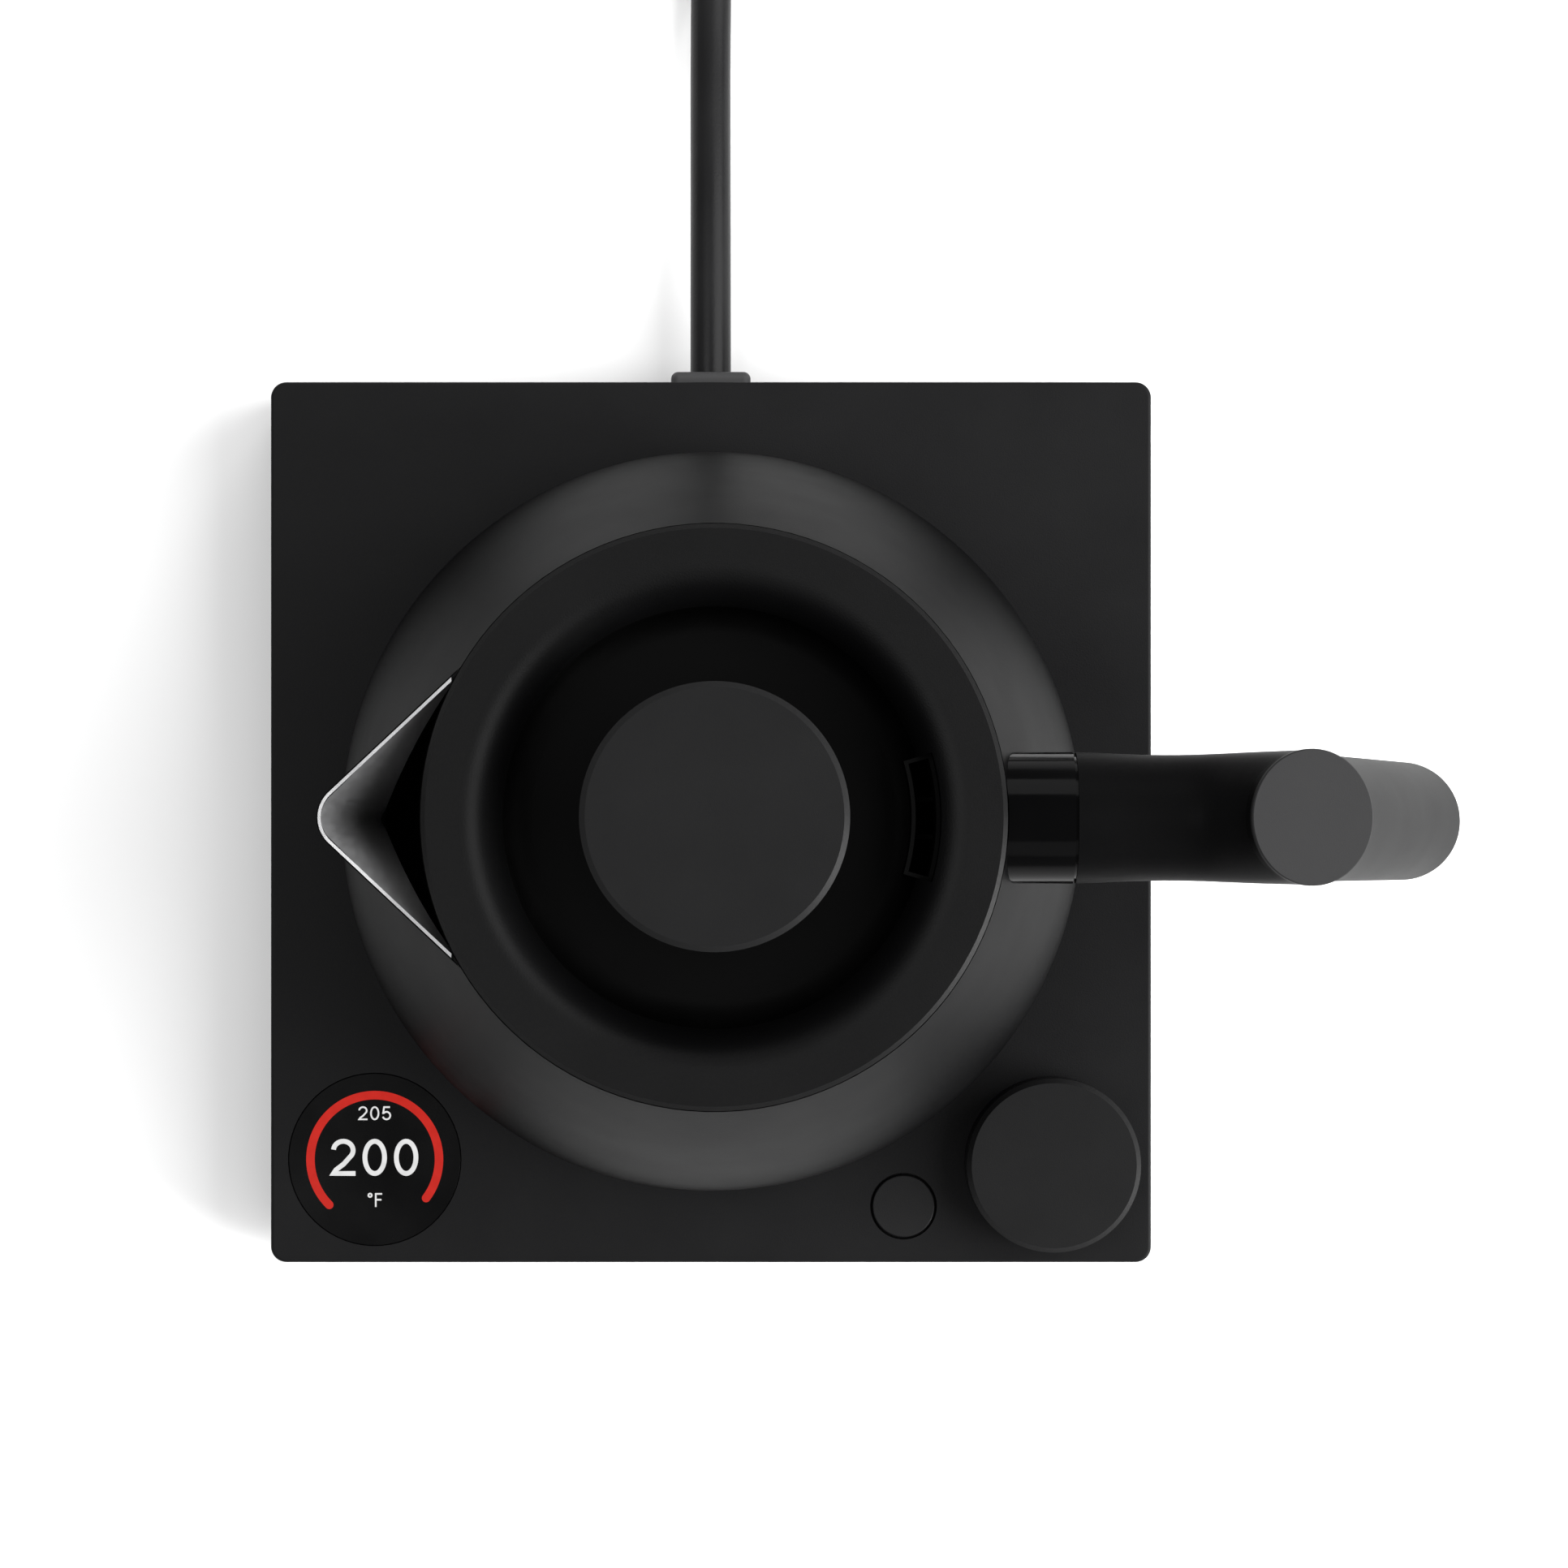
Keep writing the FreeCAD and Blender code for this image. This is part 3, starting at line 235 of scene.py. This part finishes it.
MATERIALS = {
    "coat": finish("powder_coat", (0.0052, 0.0052, 0.0055), (0.0066, 0.0066, 0.0069), (0.46, 0.52),
                   grain=3200, relief=0.00003, specular=0.066),
    "lid": lid_material(),
    "vessel": vessel_material(),
    "plastic": finish("moulded_plastic", (0.0044, 0.0044, 0.0046), (0.0056, 0.0056, 0.0058),
                      (0.46, 0.5), grain=5200, relief=0.00002, specular=0.095),
    "handle": finish("handle_plastic", (0.0022, 0.0022, 0.0023), (0.0028, 0.0028, 0.0029),
                     (0.42, 0.45), grain=5200, relief=0.00002, specular=0.015),
    # painted light: the end cap is the handle's black plastic made several times lighter, standing
    # for the light on its face toward the lamps
    "end_cap": finish("end_cap_painted_light_plastic", (0.0115, 0.0115, 0.0119), (0.013, 0.013, 0.0134),
                      (0.46, 0.5), grain=5200, relief=0.00002, specular=0.075),
    # painted shade: a near-black finish, darker than any black plastic here, so the vent's slot
    # reads as shade; the vent part is black itself
    "painted_shade": finish("black_painted_shade", (0.0006, 0.0006, 0.0006), (0.001, 0.001, 0.001), (0.5, 0.6),
                     specular=0.04),
    "dark_plastic": finish("dark_plastic", (0.0048, 0.0048, 0.0051), (0.0066, 0.0066, 0.0069),
                           (0.4, 0.5), grain=4200, relief=0.00002, specular=0.12),
    "black_plating": finish("black_plating", (0.0006, 0.0006, 0.0007), (0.001, 0.001, 0.0011),
                            (0.1, 0.16), grain=900, relief=0.000002, specular=0.05),
    "steel": finish("brushed_steel", (0.5, 0.5, 0.51), (0.62, 0.62, 0.62), (0.26, 0.36),
                    metallic=1.0, grain=1200, relief=0.000006, stretch=(1, 1, 0.04)),
    # painted shade: steel made almost black, standing for the shade on the parts deep inside the
    # closed kettle
    "shaded_steel": finish("shade_darkened_steel", (0.014, 0.014, 0.0145), (0.022, 0.022, 0.0225),
                         (0.5, 0.6), metallic=1.0, grain=1200, relief=0.000006, specular=0.2),
    "polished": finish("polished_edge", (0.75, 0.75, 0.76), (0.86, 0.86, 0.86), (0.12, 0.2),
                       metallic=1.0, grain=900, relief=0.000003),
    "zinc": finish("zinc_plate", (0.5, 0.5, 0.49), (0.63, 0.63, 0.62), (0.32, 0.46), metallic=1.0),
    "brass": finish("brass", (0.62, 0.44, 0.17), (0.74, 0.55, 0.25), (0.22, 0.34), metallic=1.0),
    "aluminium": finish("cast_aluminium", (0.55, 0.56, 0.57), (0.7, 0.7, 0.71), (0.42, 0.58),
                        metallic=1.0, grain=1400, relief=0.00005),
    "silicone": finish("silicone", (0.02, 0.02, 0.021), (0.028, 0.028, 0.029), (0.6, 0.72),
                       grain=2200, relief=0.00002),
    "window": finish("tinted_window", (0.0012, 0.0012, 0.0013), (0.002, 0.002, 0.0021), (0.12, 0.2),
                     grain=800, relief=0.000001, specular=0.07),
    "circuit": finish("solder_mask", (0.006, 0.06, 0.02), (0.01, 0.1, 0.035), (0.3, 0.4)),
    "component": finish("component", (0.03, 0.03, 0.035), (0.05, 0.05, 0.055), (0.45, 0.6)),
    "wire": finish("wire_jacket", (0.2, 0.2, 0.2), (0.3, 0.3, 0.3), (0.45, 0.55)),
    "cord": finish("cord_jacket", (0.0062, 0.0062, 0.0066), (0.0085, 0.0085, 0.0089), (0.3, 0.38),
                   grain=1800, relief=0.00003, specular=0.12),
    "digits": glow("lit_digits", (0.85, 0.85, 0.85), (1, 1, 1), 0.85),
    "arc": glow("lit_arc", (0.56, 0.015, 0.008), (0.64, 0.02, 0.012), 0.95),
}

NODE_FINISHES = {
    "coat": ["base_top_cover"],
    "lid": ["lid_shell"],
    "vessel": ["kettle_body"],
    "plastic": ["dial_cap", "lid_knob"],
    "handle": ["handle_shell"],
    "end_cap": ["handle_end_cap"],
    "dark_plastic": ["base_bottom_cover", "button_cap", "base_connector", "kettle_connector",
                     "kettle_bottom_cover", "cord_clamp"],
    # the vent insert carries the near-black painted shade
    "painted_shade": ["lid_vent"],
    "black_plating": ["handle_bracket"],
    # steel parts inside the kettle get the painted-shade steel
    "shaded_steel": ["kettle_floor", "lid_underplate", "temperature_probe"],
    "steel": ["heater_element", "handle_core", "dial_shaft", "press_dome"],
    "zinc": ["base_screws", "kettle_cover_screws", "handle_screws", "lid_knob_screw",
             "cord_clamp_screws", "encoder_body", "encoder_nut"],
    "brass": ["base_contacts", "kettle_contacts", "encoder_rotor", "plug_blades", "plug_earth_pin"],
    "aluminium": ["heater_plate"],
    "silicone": ["foot_ring", "lid_seal", "cord_grommet"],
    "window": ["display_window"],
    "circuit": ["main_board", "control_board"],
    "component": ["display_module", "power_supply", "power_relay", "buzzer", "terminal_block",
                  "tact_switch", "thermostat"],
    "wire": ["mains_wires", "ribbon_cable"],
    "cord": ["power_cord", "power_cord_end", "cord_coil", "plug_body"],
}


def give_material(piece, name):
    piece.data.materials.clear()
    piece.data.materials.append(MATERIALS[name])


def finish_nodes():
    for name, members in NODE_FINISHES.items():
        for member in members:
            give_material(NODES[member], name)


# ---- cord --------------------------------------------------------------------------------

CORD_RADIUS = 4.0
CORD_LIE = 4.2
CORD_ROUTE = [(0, 62, 15.2), (0, 114, 15.2), (0, 166, CORD_LIE)]
COIL_CENTRE = (45.2, 219)
COIL_RADIUS = 44.0
COIL_TURNS = 2.25
COIL_STEPS = 16
CLIMB = 0.14
TAIL_ROUTE = [(71, 263, 19.8), (95, 263.4, 13.2), (112, 263.4, 13.2)]


def coil_point(turn):
    """A turn starts over the incoming cord and climbs onto the next layer just before it."""
    angle = 2 * math.pi * turn
    layer = math.floor(turn)
    climb = max(0.0, (turn - layer - (1 - CLIMB)) / CLIMB)
    rise = 2 * CORD_RADIUS * (layer + climb * climb * (3 - 2 * climb))
    return (COIL_CENTRE[0] - COIL_RADIUS * math.cos(angle),
            COIL_CENTRE[1] + COIL_RADIUS * math.sin(angle), CORD_LIE + rise)


def add_cord():
    steps = int(COIL_TURNS * COIL_STEPS)
    coil = [coil_point(step / COIL_STEPS) for step in range(steps + 1)]
    route = CORD_ROUTE + coil + TAIL_ROUTE
    curve = bpy.data.curves.new("mains_cord", "CURVE")
    curve.dimensions = "3D"
    curve.resolution_u = 6
    curve.bevel_depth = CORD_RADIUS * MM
    curve.bevel_resolution = 8
    curve.use_fill_caps = True
    line = curve.splines.new("NURBS")
    line.points.add(len(route) - 1)
    for point, place in zip(line.points, route):
        point.co = (*(value * MM for value in place), 1)
    line.order_u = 3
    line.use_endpoint_u = True
    cord = bpy.data.objects.new("mains_cord", curve)
    SCENE.collection.objects.link(cord)
    give_material(cord, "cord")
    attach(cord, "base")
    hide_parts("power_cord", "cord_coil", "power_cord_end")


# ---- display -----------------------------------------------------------------------------

WINDOW_LOW, WINDOW_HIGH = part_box("display_window")
DISPLAY = (WINDOW_LOW + WINDOW_HIGH) / 2
PRINT_HEIGHT = WINDOW_HIGH.z + 0.00004
ARC_OUTER = 13.35 * MM
ARC_WIDTH = 1.66 * MM
ARC_FROM = math.radians(225)
ARC_TO = math.radians(-37)


def add_mesh(name, mesh, body, material):
    piece = bpy.data.objects.new(name, mesh)
    SCENE.collection.objects.link(piece)
    give_material(piece, material)
    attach(piece, body)
    return piece


def plate_mesh(name, outline, low, high):
    """A flat plate over an outline, with its corners in order."""
    mesh = bpy.data.meshes.new(name)
    work = bmesh.new()
    corners = [work.verts.new((x, y, low)) for x, y in outline]
    face = work.faces.new(corners)
    raised = bmesh.ops.extrude_face_region(work, geom=[face])["geom"]
    moved = [item for item in raised if isinstance(item, bmesh.types.BMVert)]
    bmesh.ops.translate(work, verts=moved, vec=(0, 0, high - low))
    bmesh.ops.recalc_face_normals(work, faces=work.faces)
    work.to_mesh(mesh)
    work.free()
    return mesh


def add_arc():
    steps = 72
    middle = ARC_OUTER - ARC_WIDTH / 2
    angles = [ARC_FROM + (ARC_TO - ARC_FROM) * k / steps for k in range(steps + 1)]
    reach = ARC_OUTER - ARC_WIDTH
    outline = [(ARC_OUTER * math.cos(a), ARC_OUTER * math.sin(a)) for a in angles]
    outline += round_end(ARC_TO, middle, -1)
    outline += [(reach * math.cos(a), reach * math.sin(a)) for a in reversed(angles)]
    outline += round_end(ARC_FROM, middle, 1)
    outline = [(x + DISPLAY.x, y + DISPLAY.y) for x, y in outline]
    mesh = plate_mesh("display_arc", outline, WINDOW_HIGH.z, PRINT_HEIGHT)
    add_mesh("display_arc", mesh, "base", "arc")


def round_end(angle, middle, side):
    """Points round the arc's end, from its outer edge to its inner one, or back for side 1."""
    centre = Vector((math.cos(angle), math.sin(angle))) * middle
    points = []
    for k in range(1, 8):
        start = angle if side < 0 else angle + math.pi
        turn = start - math.pi * k / 8
        points.append(tuple(centre + Vector((math.cos(turn), math.sin(turn))) * ARC_WIDTH / 2))
    return points


SMALL_STROKE = 0.12
LARGE_STROKE = 0.13
DIGIT_WIDTH = 0.66
DIGIT_STEP = 0.85
SIGN_STEP = 0.55
UNIT_WIDTH = 0.52
PRINT_THICKNESS = 0.03 * MM
SMALL_TEXT = 2.7 * MM
LARGE_TEXT = 7.2 * MM


def round_stroke(centre, reach, start, end, steps=24):
    """Points along an ellipse's arc, with its angles in degrees."""
    angles = [math.radians(start + (end - start) * k / steps) for k in range(steps + 1)]
    return [Vector((centre[0] + reach[0] * math.cos(a), centre[1] + reach[1] * math.sin(a)))
            for a in angles]


def straight(*corners):
    return [Vector(corner) for corner in corners]


def glyph(letter, stroke):
    """A character's strokes along their middles, one unit tall."""
    edge = stroke / 2
    middle = DIGIT_WIDTH / 2
    bowl = middle - edge
    if letter == "0":
        return [round_stroke((middle, 0.5), (bowl, 0.5 - edge), 0, 360, 40)]
    if letter == "2":
        top = round_stroke((middle, 0.69), (bowl, 0.31 - edge), 175, -32)
        return [top + straight((0.34, 0.32), (0.13, 0.16), (edge, edge), (DIGIT_WIDTH, edge))]
    if letter == "5":
        bottom = round_stroke((middle, 0.33), (bowl, 0.33 - edge), 138, -162)
        return [straight((0.58, 1 - edge), (0.155, 1 - edge), (0.09, 0.51)) + bottom]
    if letter == "F":
        upright = straight((0.52, 1 - edge), (edge, 1 - edge), (edge, 0))
        return [upright, straight((edge, 0.52), (0.47, 0.52))]
    return [round_stroke((0.2, 0.84), (0.12, 0.12), 0, 360, 20)]


def ribbon(points, width):
    """Pairs of points either side of a stroke's middle, square across its corners."""
    closed = (points[0] - points[-1]).length < 1e-6
    pairs = []
    for k, point in enumerate(points):
        before = points[k - 1] if k else (points[-2] if closed else point)
        after = points[k + 1] if k + 1 < len(points) else (points[1] if closed else point)
        ways = [way.normalized() for way in (point - before, after - point) if way.length > 1e-6]
        way = sum(ways, Vector((0, 0))).normalized()
        side = Vector((-way.y, way.x))
        half = width / 2 / max(0.5, side.dot(Vector((-ways[0].y, ways[0].x))))
        pairs.append((point + side * half, point - side * half))
    return pairs


def add_text(name, words, size, place, width):
    """Lit characters as flat strokes, centred on their place."""
    steps = [DIGIT_STEP if letter.isdigit() else SIGN_STEP for letter in words]
    total = sum(steps[:-1]) + (DIGIT_WIDTH if words[-1].isdigit() else UNIT_WIDTH)
    corners = []
    faces = []
    start = -total / 2
    for letter, step in zip(words, steps):
        for stroke in glyph(letter, width):
            first = len(corners)
            for pair in ribbon(stroke, width):
                corners += [((p.x + start) * size + place[0], (p.y - 0.5) * size + place[1],
                             PRINT_HEIGHT) for p in pair]
            faces += [(first + 2 * k, first + 2 * k + 1, first + 2 * k + 3, first + 2 * k + 2)
                      for k in range(len(stroke) - 1)]
        start += step
    mesh = bpy.data.meshes.new(name)
    mesh.from_pydata(corners, [], faces)
    piece = add_mesh(name, mesh, "base", "digits")
    thick = piece.modifiers.new("thickness", "SOLIDIFY")
    thick.thickness = PRINT_THICKNESS
    thick.offset = 1


def add_display():
    add_arc()
    x = DISPLAY.x
    y = DISPLAY.y
    add_text("display_set_value", "205", SMALL_TEXT, (x, y + 9.0 * MM), SMALL_STROKE)
    add_text("display_value", "200", LARGE_TEXT, (x, y + 0.4 * MM), LARGE_STROKE)
    add_text("display_unit", "\N{DEGREE SIGN}F", SMALL_TEXT, (x, y - 7.9 * MM), SMALL_STROKE)


# ---- spout edge --------------------------------------------------------------------------

SPOUT_TOP = 159.0
SPOUT_TIP = 69.3
SPOUT_TIP_ROUND = 6.3
SPOUT_ROOT = (-43.4, 27.0)
ROOT_SLOPE = 1.4
SPOUT_WALL = 0.8
EDGE_OUTER = 0.25
EDGE_INNER = SPOUT_WALL - 0.02
EDGE_THICKNESS = 0.12
LID_EDGE = 51.4


def spout_side(inset):
    """One side of the V with half of its rounded tip, from the lid's edge to the tip."""
    centre = Vector((-SPOUT_TIP + SPOUT_TIP_ROUND, 0))
    radius = SPOUT_TIP_ROUND - inset
    corner = Vector((SPOUT_ROOT[0], SPOUT_ROOT[1] - ROOT_SLOPE * inset))
    reach = corner - centre
    touch = math.atan2(reach.y, reach.x) + math.acos(radius / reach.length)
    upper = centre + Vector((math.cos(touch), math.sin(touch))) * radius
    steps = 10
    points = [corner + (upper - corner) * k / steps for k in range(steps)]
    points = [point for point in points if point.length > LID_EDGE]
    points += [centre + Vector((math.cos(a), math.sin(a))) * radius
               for a in (touch + (math.pi - touch) * k / steps for k in range(steps + 1))]
    return points


def add_spout_edge():
    outer = spout_side(EDGE_OUTER)
    inner = spout_side(EDGE_INNER)
    loop = outer + [Vector((p.x, -p.y)) for p in reversed(outer[:-1])]
    back = inner + [Vector((p.x, -p.y)) for p in reversed(inner[:-1])]
    outline = [(p.x * MM, p.y * MM) for p in loop + list(reversed(back))]
    mesh = plate_mesh("spout_edge", outline, SPOUT_TOP * MM, (SPOUT_TOP + EDGE_THICKNESS) * MM)
    add_mesh("spout_edge", mesh, "kettle", "polished")


# ---- set ---------------------------------------------------------------------------------

SKY = 0.53


def add_floor():
    bpy.ops.mesh.primitive_plane_add(size=8)
    floor = bpy.context.object
    floor.name = "floor"
    material, tree = new_material("floor_paper")
    shader = tree.nodes["Principled BSDF"]
    shader.inputs["Roughness"].default_value = 0.9
    shader.inputs["Specular IOR Level"].default_value = 0.1
    tree.links.new(colours(tree, spread(tree, noise(tree, 3), 0, 1), (0.93, 0.93, 0.93),
                           (0.95, 0.95, 0.95)), shader.inputs["Base Color"])
    floor.data.materials.append(material)


def add_light(name, place, target, size, power):
    data = bpy.data.lights.new(name, "AREA")
    data.shape = "RECTANGLE"
    data.size, data.size_y = size
    data.energy = power
    light = bpy.data.objects.new(name, data)
    light.location = place
    light.rotation_euler = (Vector(target) - Vector(place)).to_track_quat("-Z", "Y").to_euler()
    SCENE.collection.objects.link(light)


def add_lights():
    world = bpy.data.worlds.new("studio")
    world.use_nodes = True
    world.node_tree.nodes["Background"].inputs["Color"].default_value = (1, 1, 1, 1)
    world.node_tree.nodes["Background"].inputs["Strength"].default_value = SKY
    SCENE.world = world
    add_light("key", (1.2, 0.05, 1.25), (0, 0, 0.08), (1.5, 1.6), 42)
    add_light("low_right", (1.35, -0.5, 0.42), (0, 0, 0.1), (0.8, 0.5), 34)
    add_light("front", (0.6, -1.3, 1.1), (0, 0, 0.08), (1.2, 0.9), 3.5)
    add_light("back", (0.3, 1.4, 1.1), (0, 0, 0.08), (1.2, 0.9), 10)
    add_light("left", (-0.9, 0.0, 2.2), (-0.2, 0, 0.0), (1.0, 1.2), 15)


add_camera()
add_cord()
finish_nodes()
add_display()
add_spout_edge()
add_floor()
add_lights()
SCENE.view_settings.view_transform = "Standard"
